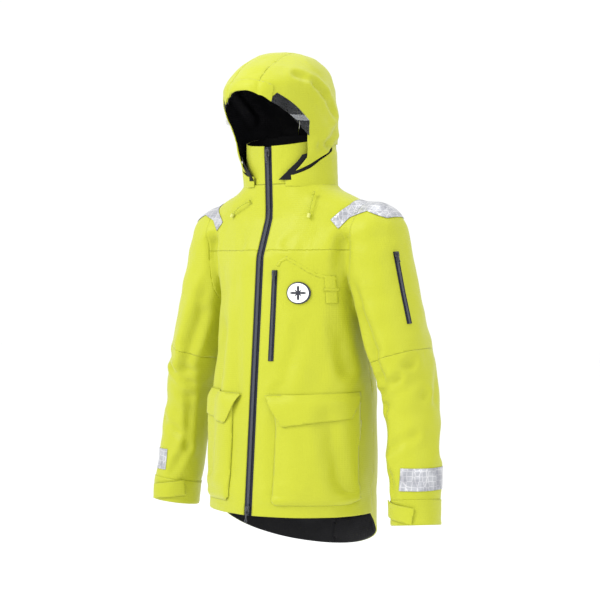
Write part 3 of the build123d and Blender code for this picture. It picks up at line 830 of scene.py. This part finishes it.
def armhole(side):
    along = ARMPIT - ARMHOLE_TOP
    normal = Vector((-along.z, 0, along.x)).normalized()
    return Vector((ARMHOLE_TOP.x * side, 0, ARMHOLE_TOP.z)), Vector((normal.x * side, 0, normal.z))


FORM_HEM = -0.790  # the form is cut level here, then drawn up to the hem's curve
HEM = -0.676
TAIL = 0.100
DRAWN = -0.600
TAIL_ENDS = math.radians(92)  # where the tail's curve meets the front hem, measured from the back
TAIL_SWING = math.radians(10)  # the tail hangs a little to the wearer's right


def hem_height(p):
    """The hem is level in front and drops in one round curve to the tail."""
    turn = math.atan2(p.x / BODY[0][1], (p.y + 0.010) / 0.160) + TAIL_SWING
    return HEM - TAIL * max(1 - (turn / TAIL_ENDS) ** 2, 0.0)


def trim_hem(shape):
    slice_off(shape, (0, 0, FORM_HEM), (0, 0, -1))
    for vert in shape.verts:
        if vert.co.z < DRAWN and abs(vert.co.x) < 0.235:
            share = (vert.co.z - DRAWN) / (FORM_HEM - DRAWN)
            vert.co.z = DRAWN + share * (hem_height(vert.co) - DRAWN)


def make_skin():
    shapes = [tube(body_frames())]
    for side in (1, -1):
        shapes += [tube(arm_frames(side)), shoulder_ball(side)]
    skin = remeshed(join_shapes(shapes), 0.0058)
    smoothed(skin, 6)
    crumple(skin, TORSO_FOLDS, ARM_FOLDS)
    smoothed(skin, 2)
    trim_hem(skin)
    settle(skin, outer_skins())
    return skin


def separate(skin):
    """Cuts the arms off at the armholes; returns the torso and the two arms."""
    for side in (1, -1):
        point, normal = armhole(side)
        zone = [f for f in skin.faces
                if side * f.calc_center_median().x > 0.13 and f.calc_center_median().z > ARMPIT.z]
        parts = {v for f in zone for v in f.verts} | {e for f in zone for e in f.edges}
        cut = bmesh.ops.bisect_plane(skin, geom=list(parts) + zone, plane_co=point, plane_no=normal)
        edges = [e for e in cut["geom_cut"] if isinstance(e, bmesh.types.BMEdge)]
        bmesh.ops.split_edges(skin, edges=edges)
    groups = sorted(islands(skin), key=len, reverse=True)
    middles = [sum((f.calc_center_median() for f in g), Vector()) / len(g) for g in groups[:3]]
    found = {}
    for group, middle in zip(groups[:3], middles):
        name = "torso" if abs(middle.x) < 0.05 else ("left" if middle.x > 0 else "right")
        part = skin.copy()
        part.faces.ensure_lookup_table()
        keep = {f.index for f in group}
        bmesh.ops.delete(part, geom=[f for f in part.faces if f.index not in keep], context="FACES")
        found[name] = part
    return found


skin = make_skin()
skin.faces.index_update()
ARMPIT = armpit(skin)
PARTS = separate(skin)
TORSO = PARTS["torso"]


def trim_neck(shape):
    slice_off(shape, (0, 0, 0.012), (0, 0, 1))


TORSO.normal_update()
trim_neck(TORSO)


def panel(name, nodes, cuts):
    """A body panel: the torso's skin between cutting planes."""
    shape = TORSO.copy()
    for point, normal in cuts:
        slice_off(shape, Vector(point) - Vector(normal).normalized() * GAP, normal)
    return shell_piece(name, shape, "shell", nodes, None, GREY_LINING)


def body_panels():
    for side, word in SIDES:
        front = ((0, SIDE_Y, 0), (0, 1, 0))
        zip_edge = ((ZIP_EDGE * side, 0, 0), (-side, 0, 0))
        below = ((0, 0, YOKE_Z), (0, 0, 1))
        above = ((0, 0, YOKE_Z), (0, 0, -1))
        panel("front_" + word, ["front_panel_" + word], [front, zip_edge, below])
        panel("yoke_" + word, ["front_yoke_" + word], [front, zip_edge, above])
    back = ((0, SIDE_Y, 0), (0, -1, 0))
    panel("back", ["back_panel"], [back, below])
    panel("back_shoulders", ["back_yoke"], [back, above])


def sleeve_blend(side, word):
    """The shell and sleeve bone names and a span from the armhole outward, handed on with a sleeve piece."""
    point, normal = armhole(side)
    start = point + normal * 0.001
    return "shell", "upper_sleeve_" + word, start, start + normal * 0.050


def sleeve(side, word):
    upper, fore = "upper_sleeve_" + word, "forearm_" + word
    arm = PARTS[word]
    seam, way, _ = arm_axis(ELBOW_SEAM, side)
    end, end_way, _ = arm_axis(ARM_END, side)
    head = arm.copy()
    slice_off(head, seam - way * GAP, way)
    shell_piece("sleeve_" + word, head, None, ["sleeve_head_" + word, "sleeve_upper_" + word],
                sleeve_blend(side, word))
    low = arm.copy()
    slice_off(low, seam + way * GAP, -way)
    slice_off(low, end, end_way)
    slice_off(low, end - end_way * (CUFF_BAND - 0.001), end_way)
    elbow, elbow_way, _ = arm_axis(ELBOW, side)
    reach = elbow_way * ELBOW_REACH
    shell_piece("forearm_" + word, low, None, ["elbow_gusset_" + word, "sleeve_lower_" + word],
                (upper, fore, elbow - reach, elbow + reach))
    cuff = arm.copy()
    slice_off(cuff, end - end_way * (CUFF_BAND + 0.001), -end_way)
    slice_off(cuff, end, end_way)

    def swell(p):
        drop = (p - end).dot(end_way)
        return 0.0016 + 0.001 * math.exp(-((drop + 0.004) / 0.004) ** 2)

    push(cuff, swell)
    shell_piece("cuff_band_" + word, cuff, fore, ["cuff_" + word])


body_panels()
for side, word in SIDES:
    sleeve(side, word)


# ------------------------------------------------------------------ hood
HOOD = [
    (0.000, 0.113, -0.105, 0.066),
    (0.040, 0.109, -0.112, 0.064),
    (0.100, 0.109, -0.137, 0.066),
    (0.150, 0.113, -0.178, 0.074),
    (0.205, 0.112, -0.193, 0.076),
    (0.245, 0.099, -0.163, 0.062),
    (0.272, 0.074, -0.124, 0.038),
    (0.288, 0.044, -0.090, 0.010),
    (0.2955, 0.006, -0.050, -0.030),
]
HOOD_OPENING = [(-0.40, 0.36), (-0.199, 0.208), (-0.172, 0.180), (-0.130, 0.146), (-0.090, 0.113),
                (-0.084, 0.082), (-0.082, 0.066), (-0.093, 0.039), (-0.074, 0.053), (-0.055, 0.068),
                (-0.032, 0.083), (-0.010, 0.0945), (0.005, 0.098), (0.040, 0.100), (0.20, 0.100),
                (0.20, 0.40)]
WINDOW = [(-0.176, 0.1760), (-0.162, 0.1950), (-0.128, 0.1700), (-0.094, 0.1400), (-0.086, 0.1100),
          (-0.130, 0.1380)]
HOOD_FOLDS = [
    ((0.106, -0.080, 0.215), (0.112, -0.010, 0.160), 0.010, 0.004),
    ((0.090, -0.120, 0.235), (0.108, -0.050, 0.200), 0.009, 0.003),
    ((0.112, -0.030, 0.100), (0.106, 0.030, 0.150), 0.012, 0.005),
    ((0.110, -0.060, 0.090), (0.100, 0.020, 0.100), 0.010, 0.004),
    ((-0.106, -0.080, 0.215), (-0.112, -0.010, 0.160), 0.010, 0.004),
    ((-0.110, -0.060, 0.090), (-0.100, 0.020, 0.100), 0.010, 0.004),
    ((-0.040, 0.070, 0.180), (0.040, 0.075, 0.150), 0.012, 0.004),
]


CROWN_HALF = 0.038  # the crown panel runs this far to each side


def hood_form():
    frames = []
    for i in range(57):
        z = HOOD[0][0] + (HOOD[-1][0] - HOOD[0][0]) * (1 - (1 - i / 56) ** 1.5)
        half, front, back = (smoothly(HOOD, z, column) for column in (1, 2, 3))
        frames.append(ring(z, half, (front + back) / 2, (back - front) / 2))
    form = remeshed(tube(frames, 72), 0.0045)
    smoothed(form, 4)

    def depth(p):
        crown = 0.0014 * math.exp(-((abs(p.x) - CROWN_HALF) / 0.004) ** 2) if p.z > 0.12 else 0.0
        wave = 0.0028 * ripple(p, (16, 16, 16), 1.7) + 0.001 * ripple(p, (45, 45, 45), 4.2)
        return wave - 1.6 * fold_depth(p, HOOD_FOLDS) - crown

    push(form, depth)
    return form


HOOD_SKIN = hood_form()


def hood():
    shell = HOOD_SKIN.copy()
    cut_outline(shell, (1, 2), HOOD_OPENING)
    parts = [
        ("hood_crown", ["hood_crown"], [((CROWN_HALF, 0, 0), (1, 0, 0)), ((-CROWN_HALF, 0, 0), (-1, 0, 0))]),
        ("hood_cheek_left", ["hood_side_left"], [((CROWN_HALF, 0, 0), (-1, 0, 0))]),
        ("hood_cheek_right", ["hood_side_right"], [((-CROWN_HALF, 0, 0), (1, 0, 0))]),
    ]
    for name, nodes, cuts in parts:
        shape = shell.copy()
        for point, normal in cuts:
            slice_off(shape, Vector(point) - Vector(normal) * GAP, normal)
        if "cheek" in name:
            cut_outline(shape, (1, 2), WINDOW, remove=True)
        shell_piece(name, shape, "hood", nodes)
    for side, word in SIDES:
        film = HOOD_SKIN.copy()
        cut_outline(film, (1, 2), HOOD_OPENING)
        slice_off(film, (0, 0, 0), (-side, 0, 0))
        cut_outline(film, (1, 2), WINDOW)
        piece = thicken(to_object("window_" + word, film, [FILM]), 0.0008, -1.0)
        finish_piece(piece, "hood", ["hood_windows"] if side == 1 else [])
    edge_band("hood_brim_edge", shell, [(-0.196, 0.207), (-0.09, 0.113)], "hood_brim")


def edge_band(name, shell, ends, node):
    """A stitched band of cloth standing round the face opening."""
    band = shell.copy()
    (y0, z0), (y1, z1) = ends
    slope = Vector((0, y1 - y0, z1 - z0)).normalized()
    inward = Vector((0, -slope.z, slope.y))
    slice_off(band, Vector((0, y0, z0)) + inward * 0.020, inward)
    slice_off(band, (0, -0.168, 0), (0, 1, 0))
    push(band, lambda p: 0.0006)
    piece = thicken(to_object(name, band, [YELLOW]), 0.0012, 1.0)
    finish_piece(piece, "hood", [node])


def hood_skirt():
    """The back of the hood from the neck seam up to its fold."""
    skirt = HOOD_SKIN.copy()
    outline = [(-0.120, 0.026), (-0.094, 0.030), (-0.073, 0.044), (-0.053, 0.062), (-0.014, 0.0895),
               (0.004, 0.104), (0.30, 0.106), (0.30, -0.02), (-0.02, -0.02), (-0.120, -0.01)]
    slice_off(skirt, (0, 0, 0.006), (0, 0, -1))
    cut_outline(skirt, (1, 2), outline)
    cut_outline(skirt, (0, 1), rectangle(-0.042, -0.30, 0.042, -0.02), remove=True)

    def depth(p):
        sink = share((p.z - 0.070) / 0.020) + share((0.03 - p.z) / 0.03)
        front = share((0.085 - abs(p.x)) / 0.043) if p.y < 0 else 0
        return -(0.0034 * max(sink, front) + 0.0034 * front)

    push(skirt, depth)
    shell_piece("hood_skirt", skirt, None, [], ("shell", "hood", (0, 0, 0.030), (0, 0, 0.095)))


hood()
hood_skirt()


# ------------------------------------------------------------------ face guard and collar
def guard_form():
    frames = []
    for i in range(25):
        z = 0.004 + 0.150 * i / 24
        t = (z - 0.008) / 0.150
        middle, depth = (-0.0976 - 0.0030 * t + 0.044) / 2, (0.044 + 0.0976 + 0.0030 * t) / 2
        frames.append(ring(z, 0.0965 + 0.002 * t, middle, depth))
    form = remeshed(tube(frames, 72), 0.0045)
    smoothed(form, 2)
    push(form, lambda p: 0.0022 * ripple(p, (24, 24, 16), 6.1))
    settle(form, outer_skins())
    return form


GUARD_SKIN = guard_form()
GUARD_SPLIT = -0.062  # where the face guard gives way to the collar


def face_guard():
    tilt = Vector((0, -0.25, 1)).normalized()
    ends = [(Vector((0, -0.101, 0.092)), tilt), ((0, 0, 0.0125), (0, 0, -1))]
    pieces = [("collar_cloth", "collar_back", [((0, GUARD_SPLIT, 0), (0, -1, 0))])]
    for side, word in SIDES:
        cuts = [((0, GUARD_SPLIT, 0), (0, 1, 0)), ((ZIP_EDGE * side, 0, 0), (-side, 0, 0))]
        pieces.insert(-1, ("face_guard_cloth_" + word, "face_guard_" + word, cuts))
    for name, node, cuts in pieces:
        shape = GUARD_SKIN.copy()
        for point, normal in ends + cuts:
            slice_off(shape, point, normal)
        shell_piece(name, shape, "shell", [node])


face_guard()


# ------------------------------------------------------------------ pockets, flaps and pads
def ridge(name, points, source, axes, where, body, width=0.0035, height=0.0012):
    """A raised, welded seam line along a row of points."""
    a, b = axes
    sides = ([], [])
    for i, (u, v) in enumerate(points):
        (u0, v0), (u1, v1) = points[max(i - 1, 0)], points[min(i + 1, len(points) - 1)]
        run = math.hypot(u1 - u0, v1 - v0)
        for row, way in zip(sides, (width, -width)):
            row.append((u - (v1 - v0) / run * way, v + (u1 - u0) / run * way))
    outline = sides[0] + sides[1][::-1]

    def swell(p):
        t = min(edge_distance(outline, p[a], p[b]) / width, 1.0)
        return height * t * (2 - t)

    piece = patch(name, source, axes, outline, where, -0.0004, 0.0007, [YELLOW], swell)
    return finish_piece(piece, body)


BADGE_AT = (0.090, -0.215)
BADGE_RADIUS = 0.023


def chest_pocket():
    line = [(0.045, -0.160), (0.050, -0.150), (0.064, -0.143), (0.084, -0.154), (0.106, -0.168),
            (0.128, -0.180), (0.150, -0.182)]
    ridge("chest_pocket_seam", line, TORSO, (0, 2), front_side, "shell")
    x, z = BADGE_AT
    turns = [t * math.pi / 20 for t in range(40)]
    circle = [(x + BADGE_RADIUS * math.cos(turn), z + BADGE_RADIUS * math.sin(turn)) for turn in turns]
    print_material = badge_print(BADGE_AT, BADGE_RADIUS)
    piece = patch("badge", TORSO, (0, 2), circle, front_side, 0.0017, 0.0010, [print_material])
    finish_piece(piece, "shell", ["chest_badge"])
    tab = rectangle(0.139, -0.236, 0.156, -0.180)
    piece = patch("radio_tab", TORSO, (0, 2), tab, front_side, 0.0006, 0.0022, [YELLOW])
    finish_piece(piece, "shell", ["mic_tab"])
    fold = rectangle(0.137, -0.211, 0.158, -0.205)
    piece = patch("radio_tab_fold", TORSO, (0, 2), fold, front_side, 0.0025, 0.0016, [YELLOW])
    finish_piece(piece, "shell")


POCKET = [(0.056, -0.440), (0.1860, -0.440), (0.1860, -0.640), (0.178, -0.650), (0.064, -0.650),
          (0.056, -0.642)]
FLAP = [(0.032, -0.428), (0.195, -0.420), (0.195, -0.472), (0.120, -0.483), (0.076, -0.490),
        (0.070, -0.486)]
FLAP_TOP = ((0, -0.022, -0.422), (0, 0.050, -0.034))  # the plane that cuts the flap free above


def pocket_side(p):
    return p.y < -0.028


def pocket_swell(p):
    edge = min(abs(p.x) - 0.056, p.z + 0.650, (-0.030 - p.y) * 1.2)
    t = share(edge / 0.012)
    top = share((-0.436 - p.z) / 0.02)
    return (0.0048 * t * (2 - t)) * (0.35 + 0.65 * top) + 0.0012 * ripple(p, (20, 20, 14), 2.2)


def flap_stand(p):
    drop = share((-0.425 - p.z) / 0.022)
    return 0.0074 * drop * (2 - drop)


def hand_pockets():
    for side, word in SIDES:
        piece = patch("bellows_pocket_" + word, TORSO, (0, 2), on_side(POCKET, side), pocket_side,
                      0.0006, 0.0016, [YELLOW], pocket_swell)
        finish_piece(piece, "shell", ["hand_pocket_" + word])
        piece = patch("flap_" + word, TORSO, (0, 2), on_side(FLAP, side), pocket_side,
                      0.0012, 0.0018, [YELLOW], flap_stand, [FLAP_TOP])
        finish_piece(piece, "pocket_flap_" + word, ["pocket_flap_" + word])


chest_pocket()
hand_pockets()


# ------------------------------------------------------------------ reflective tapes
FOREARM_BAND = (-0.612, -0.567)
SHOULDER_BAND = [(0.142, -0.064), (0.160, -0.083), (0.180, -0.060), (0.212, -0.047), (0.250, -0.062),
                 (0.268, -0.052), (0.268, 0.010), (0.182, 0.010), (0.172, -0.034)]
TAPE = 0.0007


def on_shoulder(p):
    return p.z > -0.12 and p.y < 0.045


def tapes():
    low, high = FOREARM_BAND
    for side, word in SIDES:
        piece = patch("forearm_reflector_" + word, PARTS[word], (1, 2), rectangle(-0.10, low, 0.026, high),
                      lambda p: side * p.x > 0.28, 0.0008, TAPE, [SILVER],
                      cuts=[((0.3085 * side, 0, 0), (-side, 0, 0))])
        finish_piece(piece, "forearm_" + word, ["forearm_tape_" + word])
        outline = on_side(SHOULDER_BAND, side)
        piece = patch("shoulder_reflector_" + word, TORSO, (0, 2), outline, on_shoulder,
                      0.0010, TAPE, [SILVER])
        finish_piece(piece, "shell", ["shoulder_tapes"] if side == 1 else [])
        piece = patch("sleeve_reflector_" + word, PARTS[word], (0, 2), outline, on_shoulder,
                      0.0010, TAPE, [SILVER])
        finish_piece(piece, None, [], sleeve_blend(side, word))
    square = rectangle(-0.060, -0.060, -0.020, -0.010)
    piece = patch("hood_reflector", HOOD_SKIN, (0, 1), square, lambda p: p.z > 0.2, 0.0010, TAPE, [SILVER])
    finish_piece(piece, "hood", ["hood_tape"])


tapes()


# ------------------------------------------------------------------ neck cord ends
CORDS = {
    "left": [(0.1050, -0.0835, -0.0120), (0.1055, -0.0885, -0.0240), (0.1030, -0.0920, -0.0370),
             (0.1010, -0.0925, -0.0500)],
    "right": [(-0.0570, -0.0980, -0.0240), (-0.0700, -0.1000, -0.0290), (-0.0855, -0.0980, -0.0375),
              (-0.0990, -0.0925, -0.0480)],
}
CORD_D = 0.0025


def neck_cord(word, points):
    curve = bpy.data.curves.new("neck_cord_" + word + "_line", "CURVE")
    curve.dimensions = "3D"
    spline = curve.splines.new("NURBS")
    spline.points.add(len(points) - 1)
    for point, place in zip(spline.points, points):
        point.co = (*place, 1)
    spline.order_u = 3
    spline.use_endpoint_u = True
    curve.bevel_depth = CORD_D / 2
    curve.bevel_resolution = 4
    curve.resolution_u = 12
    cord = bpy.data.objects.new("neck_cord_line_" + word, curve)
    bpy.context.scene.collection.objects.link(cord)
    curve.materials.append(CORD)
    finish_piece(cord, "shell", ["neck_cord_" + word])


CORD = cloth("braided_cord", (0.50, 0.54, 0.03), (0.38, 0.42, 0.012), threads=5200.0, bump=0.0003)
for word, points in CORDS.items():
    neck_cord(word, points)


# ------------------------------------------------------------------ inner and small pieces
FACING = 0.060


def inner_pieces():
    for side, word in SIDES:
        facing = copy_faces(TORSO, lambda p: side * p.x > 0 and p.z < hem_height(p) + FACING)
        cut_outline(facing, (0, 1), rectangle(-0.022, -0.30, 0.022, -0.02), remove=True)
        facing.normal_update()
        for vert in facing.verts:
            rise = vert.co.z - hem_height(vert.co)
            if rise > FACING - 0.005:
                vert.co.z += FACING - rise
            vert.co -= vert.normal * 0.0040
            vert.co.z = max(vert.co.z, hem_height(vert.co) + 0.001)
        lining_piece("hem_facing_" + word, facing, "shell", 0.0008, ["hem_facing"] if side == 1 else [])
    bag = rectangle(0.030, -0.380, 0.118, -0.160)
    piece = patch("chest_bag", TORSO, (0, 2), bag, front_side, -0.0050, 0.0012, [LINING])
    finish_piece(piece, "shell", ["chest_pocket_bag"])
    brim = HOOD_SKIN.copy()
    cut_outline(brim, (1, 2), HOOD_OPENING)
    slice_off(brim, (0, -0.166, 0), (0, 1, 0))
    for side in (1, -1):
        slice_off(brim, (0.060 * side, 0, 0), (side, 0, 0))
    push(brim, lambda p: -0.0040)
    lining_piece("brim_board", brim, "hood", 0.0010, ["brim_stiffener"])
    low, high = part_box("inner_storm_flap")
    line = [Vector((0, smoothly(BODY, z, 2) + 0.0115, z)) for z in steps(low.z, high.z, 40)]
    ribbon("storm_flap", line, Vector((0.020, 0, 0)), 0.0012, ["inner_storm_flap"])
    low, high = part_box("hanger_loop")
    bow = [Vector((x, high.y - (high.y - low.y) * (1 - (x / high.x) ** 4), (low.z + high.z) / 2))
           for x in steps(low.x, high.x, 28)]
    ribbon("neck_loop", bow, Vector((0, 0, (high.z - low.z) / 2)), 0.0014, ["hanger_loop"])


def steps(low, high, count):
    return [low + (high - low) * i / count for i in range(count + 1)]


def ribbon(name, line, half, thickness, nodes):
    """A flat strip of cloth along a line."""
    shape = bmesh.new()
    rows = [[shape.verts.new(point + half * (side / 2)) for side in range(-2, 3)] for point in line]
    for row, following in zip(rows, rows[1:]):
        for i in range(4):
            shape.faces.new((row[i], row[i + 1], following[i + 1], following[i]))
    bmesh.ops.recalc_face_normals(shape, faces=shape.faces)
    return lining_piece(name, shape, "shell", thickness, nodes, 0.0)


def neck_lining_and_slit_shade():
    """Black lining cloth that closes the gap between the hood's wing and the face guard; its black also stands
    in as painted shade for the dark slit there.
    """
    shape = HOOD_SKIN.copy()
    cut_outline(shape, (1, 2), [(-0.104, 0.020), (-0.101, 0.040), (-0.090, 0.071), (-0.030, 0.096),
                                (0.0, 0.0935), (-0.040, 0.050), (-0.078, 0.020)])
    # painted shade: the black sheet sits 4.5 mm inside the hood's skin, partly lining and partly standing in
    # for the slit's shade
    push(shape, lambda p: -0.0045)
    lining_piece("neck_lining_and_slit_shade", shape, "shell", 0.0010)


def cuff_tabs():
    points = [(0.274, -0.634), (0.338, -0.646), (0.338, -0.678), (0.274, -0.668)]
    for side, word in SIDES:
        piece = patch("cuff_strap_" + word, PARTS[word], (0, 2), on_side(points, side),
                      lambda p: side * p.x > 0.262 and p.y < -0.030, 0.0042, 0.0020, [YELLOW])
        finish_piece(piece, "cuff_tab_" + word, ["cuff_tab_" + word])


def cord_sleeves():
    """The short tube that each cord end comes out of."""
    for i, (word, points) in enumerate(CORDS.items()):
        way = (Vector(points[1]) - Vector(points[0])).normalized()
        turn = way.to_track_quat("Z", "Y").to_matrix().to_4x4()
        shape = bmesh.new()
        bmesh.ops.create_cone(shape, segments=40, radius1=0.0026, radius2=0.0024, depth=0.008,
                              matrix=Matrix.Translation(Vector(points[0]) - way * 0.004) @ turn)
        piece = thicken(to_object("cord_sleeve_" + word, shape, [YELLOW]), 0.0009, -1.0)
        finish_piece(piece, "shell", ["cord_tunnels"] if i == 0 else [])


inner_pieces()
neck_lining_and_slit_shade()
cuff_tabs()
cord_sleeves()
BEAD = cloth("bead_plastic", (0.60, 0.62, 0.16), (0.50, 0.52, 0.10),
             threads=400.0, bump=0.00003, sheen=0.0, gloss=0.5)


# ------------------------------------------------------------------ frame nodes that stay
def give(node, material):
    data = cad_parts[node].data
    data.materials.clear()
    data.materials.append(material)


for node in ("main_zip_tapes", "chest_zip_tape", "sleeve_zip_tape"):
    give(node, ZIP_TAPE)
for node in ("main_zip_chain", "chest_zip_chain", "sleeve_zip_chain"):
    give(node, COIL)
for node in ("top_slider", "top_pull", "bottom_slider", "bottom_pull", "chest_slider", "chest_pull",
             "sleeve_slider", "sleeve_pull"):
    give(node, ENAMEL)
for node in ("cord_bead_left", "cord_bead_right"):
    give(node, BEAD)

add_camera()
add_studio()
